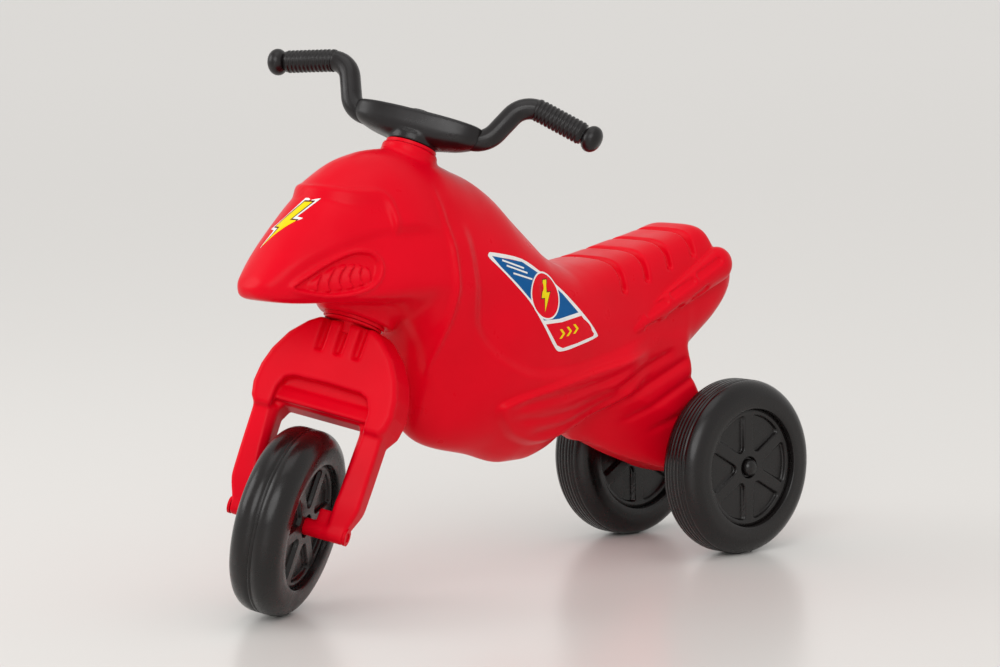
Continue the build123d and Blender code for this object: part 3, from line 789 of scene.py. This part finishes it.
def make_fork():
    x, rear, z = lattice(FORK_LOW, FORK_HIGH, FORK_STEP)
    t = -rear
    # crown: an arch, a little larger at the back than at the front
    outline = outline_distance(mirrored_outline(CROWN_OUTLINE), x, z)
    half = (CROWN_FRONT - CROWN_BACK) / 2
    crown = slab(outline - CROWN_DRAFT * (CROWN_FRONT - t), t - (CROWN_FRONT + CROWN_BACK) / 2, half, 5)
    crown = keep(crown, z - 195.7, 3)
    window = outline_distance(mirrored_outline(WINDOW_OUTLINE), x, z)
    crown = cut(crown, slab(window, t - CROWN_FRONT, WINDOW_DEPTH, 2.5), 2.5)
    # cross bar under the window, its face turned up a little
    bar = box_field(x, t + 0.35 * (z - 110), z, (-50, -14, 107), (50, 13, 122), 3.5)
    field = join(crown, bar, 2)
    for place in CROWN_FLUTES:
        flute = np.hypot(x - place, (t - 21.5 + 0.12 * (z - 160)) * 0.7) - 3.8
        flute = keep(flute, 162 - z, 3)
        field = cut(field, flute, 2)
    # legs: two facets in front that meet at a crease
    outer = curve([(0, 57), (8, 60), (30, 66), (98, 66.5)], z)
    inner = curve([(0, 40), (28, 41), (98, 42)], z)
    crease = curve([(0, 39), (21, 40), (36, 44), (98, 49)], z)
    depth = curve([(0, 8), (6, 9.5), (30, 13.5), (98, 15)], z)
    front = depth - 0.10 * (x - crease) * (x > crease) - 1.0 * (crease - x) * (x <= crease)
    leg = keep(keep(x - outer, inner - x, 5), keep(t - front, -t - depth, 3), 4)
    leg = keep(leg, keep(z - 101, -4 - z, 2), 3)
    field = join(field, leg, 2.5)
    # horizontal boss with a rounded end, and the square lug above its inner part
    around = np.hypot(t, z)
    boss = slab(around - BOSS_RADIUS, x - (BOSS_INNER + BOSS_OUTER) / 2, (BOSS_OUTER - BOSS_INNER) / 2, 1.5)
    field = join(field, boss, 3)
    lug = box_field(x, t, z, (27, -5.5, 0), (42, 5.5, 20), 2)
    field = join(field, lug, 2)
    field = soften(field, 1)
    field = cut(field, around - 5.2 + 0 * x, 0.5)
    fork = skin("fork_moulding", field, FORK_LOW, FORK_STEP, mirrored=True, matrix=STEER)
    dress(fork, FORK_RED)
    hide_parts("fork")
    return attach(fork, "steering_group")


fork = make_fork()


def lathe(name, profile, segments, matrix, axis="z"):
    """A closed ring turned from a closed (radius, height) profile."""
    points = []
    for i in range(segments):
        c, s = cos(i * tau / segments), sin(i * tau / segments)
        for r, h in profile:
            points.append((h, r * c, r * s) if axis == "x" else (r * c, r * s, h))
    n = len(profile)
    faces = []
    for i in range(segments):
        j = (i + 1) % segments
        for k in range(n):
            m = (k + 1) % n
            faces.append((i * n + k, j * n + k, j * n + m, i * n + m))
    return mesh_object(name, points, faces, matrix)


STEM_PROFILE = [
    (12.5, 185), (15.2, 185), (16, 186), (16, 395.5), (15.4, 396.6), (12, 397), (4.6, 397), (4.1, 396.4),
    (4.1, 387.5), (4.6, 387), (12, 387), (12.5, 386),
]


def make_stem():
    stem = lathe("steering_stem", STEM_PROFILE, 64, STEER)
    dress(stem, FORK_RED)
    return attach(stem, "steering_group")


make_stem()

# ---------------------------------------------------------------- handlebar
POD_STEP = 1.1
POD_LOW = (0.0, -29.0, 378.0)
POD_HIGH = (72.0, 29.0, 420.0)
BAR_PATH = [(40, 4, 400), (70, 3, 402), (92, 9, 451), (164.6, 17, 434)]
BAR_BEND = 23.0
BAR_RADIUS = 10.3
BALL_RADIUS = 13.2
GRIP_RIBS = 12
RIB_PITCH = 4.2
RIB_HEIGHT = 0.9
FIRST_RIB = 10.0


def make_pod():
    x, y, z = lattice(POD_LOW, POD_HIGH, POD_STEP)
    length = curve([(378, 26), (384, 33), (388, 48), (393, 60), (400, 65), (409, 65.5), (418, 62)], z)
    depth = curve([(378, 16), (384, 18), (390, 21.5), (400, 23.5), (409, 23.5), (418, 20)], z)
    field = ((np.abs(x) / length) ** 2.7 + (np.abs(y) / depth) ** 2.5) ** (1 / 2.6) - 1
    field = as_distance(field + 0 * z, POD_STEP)
    top = 412.4 - 1.6 * np.exp(-((np.abs(x) / 46) ** 4 + (np.abs(y) / 15) ** 4))
    field = keep(field, keep(z - top, 383.5 - z, 2), 3.5)
    around = np.hypot(x, y)
    ring = slab(around - 24, z - 385, 4.5, 1.5)
    field = join(field, ring, 2)
    field = cut(field, slab(around - 16.2, z - 385, 12, 0.5), 1)
    field = cut(field, slab(around - 10, z - 412, 8, 0.5), 1)
    pod = skin("bar_pod", soften(field, 1), POD_LOW, POD_STEP, mirrored=True, matrix=STEER)
    dress(pod, BAR_BLACK)
    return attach(pod, "steering_group")


def bent_path(points, bend):
    """Points and directions along straight runs joined by arcs."""
    p = [Vector(q) for q in points]
    line = [p[0]]
    for a, b, c in zip(p[:-2], p[1:-1], p[2:]):
        back, on = (a - b).normalized(), (c - b).normalized()
        half = back.angle(on) / 2
        reach = bend / np.tan(half)
        middle = (back + on).normalized()
        centre = b + middle * (bend / sin(half))
        start, end = b + back * reach - centre, b + on * reach - centre
        turn = start.angle(end)
        steps = 10
        for k in range(steps + 1):
            f = k / steps
            arc = start * (sin((1 - f) * turn) / sin(turn)) + end * (sin(f * turn) / sin(turn))
            line.append(centre + arc)
    line.append(p[-1])
    return line


def make_bar_arm(side, name):
    """The bent tube, its ribbed grip and the ball at its end, on one side."""
    line = bent_path([(side * x, y, z) for x, y, z in BAR_PATH], BAR_BEND)
    lengths = np.cumsum([0.0] + [(b - a).length for a, b in zip(line[:-1], line[1:])])
    total = float(lengths[-1])
    stations = [(float(d), BAR_RADIUS) for d in lengths[:-1]]
    grip_start = total - FIRST_RIB - GRIP_RIBS * RIB_PITCH
    stations = [(d, r) for d, r in stations if d < grip_start - 2]
    for i in range(GRIP_RIBS):
        base = grip_start + i * RIB_PITCH
        for along, height in ((0.0, 0.0), (0.55, 0.75), (1.05, 1.0), (2.0, 1.0), (2.5, 0.75), (3.05, 0.0)):
            stations.append((base + along, BAR_RADIUS + RIB_HEIGHT * height))
    stations.append((total - FIRST_RIB + 0.6, BAR_RADIUS))
    ball_back, ball_front = 9.6, 9.8
    for k in range(3, 25):
        angle = pi * k / 24
        along = -cos(angle) * (ball_back if cos(angle) > 0 else ball_front)
        radius = BALL_RADIUS * max(sin(angle), 0.02) ** 0.9
        stations.append((total + along, radius))
    points = []
    segments = 48
    reference = Vector((0, 1, 0))
    for d, radius in stations:
        i = int(np.clip(np.searchsorted(lengths, d) - 1, 0, len(line) - 2))
        run = line[i + 1] - line[i]
        centre = line[i] + run.normalized() * (d - float(lengths[i]))
        before = line[max(i - 1, 0)]
        after = line[min(i + 2, len(line) - 1)]
        blend = (d - float(lengths[i])) / run.length
        if radius == BAR_RADIUS and 0 < i < len(line) - 2:
            direction = ((line[i] - before).normalized() * (1 - blend) + run.normalized()
                         + (after - line[i + 1]).normalized() * blend).normalized()
        else:
            direction = run.normalized()
        across = reference - direction * reference.dot(direction)
        across.normalize()
        other = direction.cross(across)
        for k in range(segments):
            angle = k * tau / segments
            seam = 0.3 if k in (0, segments // 2) and radius == BAR_RADIUS else 0.0
            offset = across * cos(angle) + other * sin(angle)
            points.append(tuple(centre + offset * (radius + seam)))
    rows = len(stations)
    faces = ring_faces(rows, segments)
    faces.append(list(range(segments))[::-1])
    faces.append(list(range((rows - 1) * segments, rows * segments)))
    arm = mesh_object(name, points, faces, STEER)
    dress(arm, BAR_BLACK)
    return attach(arm, "steering_group")


pod = make_pod()
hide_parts("handlebar")
make_bar_arm(1, "bar_arm_left")
make_bar_arm(-1, "bar_arm_right")

# ---------------------------------------------------------------- wheels
HALF_WIDTH = 25.2
SHOULDER = 17.0
DISC_FACE = 18.5
POCKET_DEPTH = 4.0
HUB_RADIUS = 18.0
HUB_RECESS_RADIUS = 11.0
RIM_RING_INNER = 55.0
SPOKE_WIDTH = 12.0
SPOKES = 6
REAR_GROOVES = (2.5, 7.0, 11.0)
FRONT_GROOVES = (1.6,)


def tyre_profile(grooves):
    """Half of the tyre's outer line, from the rim to the middle of the tread, as (radius, x)."""
    line = [(61.0, 14.0), (61.0, 23.6), (61.6, 24.7), (62.8, 25.2), (68.0, 25.3), (73.0, 25.2)]
    centre_r, centre_x = WHEEL_RADIUS - SHOULDER, HALF_WIDTH - SHOULDER
    places = np.linspace(0.12, pi / 2, 14)
    line += [(centre_r + SHOULDER * sin(a), centre_x + SHOULDER * cos(a)) for a in places]
    surface = line[::-1]
    radius, place = np.array(surface).T
    order = np.argsort(place[:14])

    def tread_r(x):
        if x <= centre_x:
            return WHEEL_RADIUS
        return float(np.interp(x, place[:14][order], radius[:14][order]))

    kept = [p for p in line if all(abs(p[1] - g) > 1.2 or p[0] < 80 for g in grooves)]
    for g in grooves:
        kept += [(tread_r(g + w) - d, g + w) for w, d in ((0.9, 0.0), (0.3, 0.9), (-0.3, 0.9), (-0.9, 0.0))]
    fixed = [p for p in kept if p[0] < 80 and p[1] > 20]
    free = [p for p in kept if not (p[0] < 80 and p[1] > 20)]
    inner = [p for p in free if p[0] < 62]
    free = sorted([p for p in free if p[0] >= 62], key=lambda p: -p[1])
    fixed = [p for p in line if p in fixed]
    return inner + fixed + free


def make_tyre(name, node, matrix, grooves):
    half = tyre_profile(grooves)
    profile = half + [(r, -x) for r, x in reversed(half)]
    tyre = lathe(name, profile, 144, matrix, axis="x")
    dress(tyre, WHEEL_BLACK)
    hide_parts(node)
    return tyre


def disc_height(radius, angle):
    """Height of the wheel face over its middle plane."""
    u, v = radius * np.cos(angle), radius * np.sin(angle)
    sector = np.round((angle - pi / 6) / (tau / SPOKES)) * tau / SPOKES + pi / 6
    spoke = np.abs(-u * np.sin(sector) + v * np.cos(sector)) - SPOKE_WIDTH / 2
    ring = RIM_RING_INNER - radius
    hub = radius - HUB_RADIUS
    solid = np.minimum(np.minimum(spoke, ring), hub)
    corner = 4.0
    near_spoke = np.maximum(corner - spoke, 0)
    inner = np.sqrt(near_spoke**2 + np.maximum(corner - hub, 0) ** 2)
    outer = np.sqrt(near_spoke**2 + np.maximum(corner - ring, 0) ** 2)
    rounded = np.minimum(solid, corner - np.maximum(inner, outer))
    height = DISC_FACE - POCKET_DEPTH * ramp(rounded, -0.2, 1.6)
    bead = 0.5 * np.exp(-((radius - 57.4) / 1.6) ** 2)
    seam = 1.2 * np.exp(-((radius - 61.4) / 0.9) ** 2)
    recess = 1 - ramp(radius, HUB_RECESS_RADIUS - 0.6, HUB_RECESS_RADIUS + 0.6)
    return height + bead - seam - (POCKET_DEPTH + 0.5) * recess


def make_disc(name, node, matrix):
    radii = np.concatenate((
        np.linspace(5.2, 9.5, 3), np.linspace(10, 12, 6), np.linspace(13, 17, 4), np.linspace(17.6, 24, 12),
        np.linspace(26, 50, 16), np.linspace(50.8, 56, 10), np.linspace(56.7, 61.8, 9),
    ))
    segments = 288
    angle = np.arange(segments) * tau / segments
    points, faces = [], []
    for face in (1, -1):
        first = len(points)
        for r in radii:
            h = disc_height(r, angle) * face
            points += list(zip(h, r * np.cos(angle), r * np.sin(angle)))
        faces += ring_faces(len(radii), segments, first, flip=face > 0)
    last = (len(radii) - 1) * segments
    other = len(radii) * segments
    for edge, flip in ((0, False), (last, True)):
        for c in range(segments):
            a, b = edge + c, edge + (c + 1) % segments
            quad = (a, b, b + other, a + other)
            faces.append(quad[::-1] if flip else quad)
    disc = mesh_object(name, points, faces, matrix)
    dress(disc, WHEEL_BLACK)
    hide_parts(node)
    return disc


def wheel_matrix(side):
    return Matrix.Translation((side * REAR_TRACK / 2, REAR_Y, WHEEL_RADIUS))


for name, body_name, matrix, grooves in (
    ("front", "front_wheel", STEER, FRONT_GROOVES),
    ("rear_left", "rear_left_wheel", wheel_matrix(1), REAR_GROOVES),
    ("rear_right", "rear_right_wheel", wheel_matrix(-1), REAR_GROOVES),
):
    nodes = {"front": ("front_tyre", "front_disc")}.get(
        name, (f"rear_tyre_{name[5:]}", f"rear_disc_{name[5:]}")
    )
    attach(make_tyre(f"{name}_tyre_moulding", nodes[0], matrix, grooves), body_name)
    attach(make_disc(f"{name}_disc_moulding", nodes[1], matrix), body_name)

# ---------------------------------------------------------------- finishes of the CAD pieces that stay
NODE_FINISH = {
    "upper_bush": BODY_RED, "lower_bush": BODY_RED, "thrust_washer": FORK_RED,
    "front_axle_cap_left": FORK_RED, "front_axle_cap_right": FORK_RED, "front_axle": STEEL,
    "rear_axle": STEEL, "clamp_bolt": STEEL, "clamp_nut": STEEL, "clamp_washer": STEEL,
    "axle_spacer_left": BUSH_BLACK, "axle_spacer_right": BUSH_BLACK, "rear_washer_left": BUSH_BLACK,
    "rear_washer_right": BUSH_BLACK, "rear_axle_cap_left": WHEEL_BLACK,
    "rear_axle_cap_right": WHEEL_BLACK, "bolt_cap": BAR_BLACK,
}
for node_name, finish in NODE_FINISH.items():
    dress(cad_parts[node_name], finish)

# ---------------------------------------------------------------- studio
FLOOR_RADIUS = 60.0     # metres
FLOOR_SIDES = 64


def make_floor():
    angles = [i * tau / FLOOR_SIDES for i in range(FLOOR_SIDES)]
    points = [(FLOOR_RADIUS / MM * cos(a), FLOOR_RADIUS / MM * sin(a), 0) for a in angles]
    floor = mesh_object("studio_floor", points, [list(range(FLOOR_SIDES))], smooth=False)
    made, _, _ = new_material("studio_floor_finish", (0.79, 0.772, 0.748), 0.26, 0.4)
    dress(floor, made)


def make_world():
    world = bpy.data.worlds.new("studio")
    bpy.context.scene.world = world
    world.use_nodes = True
    tree = world.node_tree
    sky = tree.nodes["Background"]
    place = tree.nodes.new("ShaderNodeTexCoord")
    split = tree.nodes.new("ShaderNodeSeparateXYZ")
    fade = tree.nodes.new("ShaderNodeMapRange")
    fade.inputs["From Min"].default_value = 0.0
    fade.inputs["From Max"].default_value = 0.8
    fade.inputs["To Min"].default_value = 0.76
    fade.inputs["To Max"].default_value = 0.70
    tree.links.new(place.outputs["Generated"], split.inputs["Vector"])
    tree.links.new(split.outputs["Z"], fade.inputs["Value"])
    tree.links.new(fade.outputs["Result"], sky.inputs["Strength"])
    sky.inputs["Color"].default_value = (1.0, 0.985, 0.965, 1)


def make_light(name, kind, place, target, energy, size, colour=(1, 1, 1)):
    lamp = bpy.data.lights.new(name, kind)
    lamp.energy = energy
    lamp.color = colour
    if kind == "AREA":
        lamp.shape = "RECTANGLE"
        lamp.size, lamp.size_y = size
    else:
        lamp.angle = radians(size)
    holder = bpy.data.objects.new(name, lamp)
    bpy.context.scene.collection.objects.link(holder)
    holder.location = place
    holder.rotation_euler = (Vector(target) - Vector(place)).to_track_quat("-Z", "Y").to_euler()


CAMERA_PLACE = (2326.0, -2068.5, 611.3)
CAMERA_AZIMUTH = 48.222
CAMERA_ELEVATION = 6.726
CAMERA_ROLL = -0.876
LENS = 113.92


def make_camera():
    lens = bpy.data.cameras.new("camera")
    lens.lens = LENS
    lens.sensor_width = 36.0
    lens.clip_end = 200.0
    camera = bpy.data.objects.new("camera", lens)
    bpy.context.scene.collection.objects.link(camera)
    az, el, roll = (radians(a) for a in (CAMERA_AZIMUTH, CAMERA_ELEVATION, CAMERA_ROLL))
    back = Vector((sin(az) * cos(el), -cos(az) * cos(el), sin(el)))
    right = Vector((cos(az), sin(az), 0))
    up = back.cross(right)
    turned_right = right * cos(roll) + up * sin(roll)
    turned_up = up * cos(roll) - right * sin(roll)
    rotation = Matrix((turned_right, turned_up, back)).transposed()
    camera.matrix_world = Matrix.Translation(Vector(CAMERA_PLACE) * MM) @ rotation.to_4x4()
    bpy.context.scene.camera = camera


make_floor()
make_world()
make_light("key", "SUN", (2.0, -2.4, 1.9), (0, 0, 0.2), 1.0, 40)
make_light("softbox_left", "AREA", (-1.6, -1.9, 1.5), (0, 0, 0.3), 16, (1.4, 1.4))
make_light("softbox_top", "AREA", (0.3, -0.2, 2.6), (0, 0, 0.2), 7, (1.6, 1.6))
make_camera()
bpy.context.scene.view_settings.view_transform = "Standard"
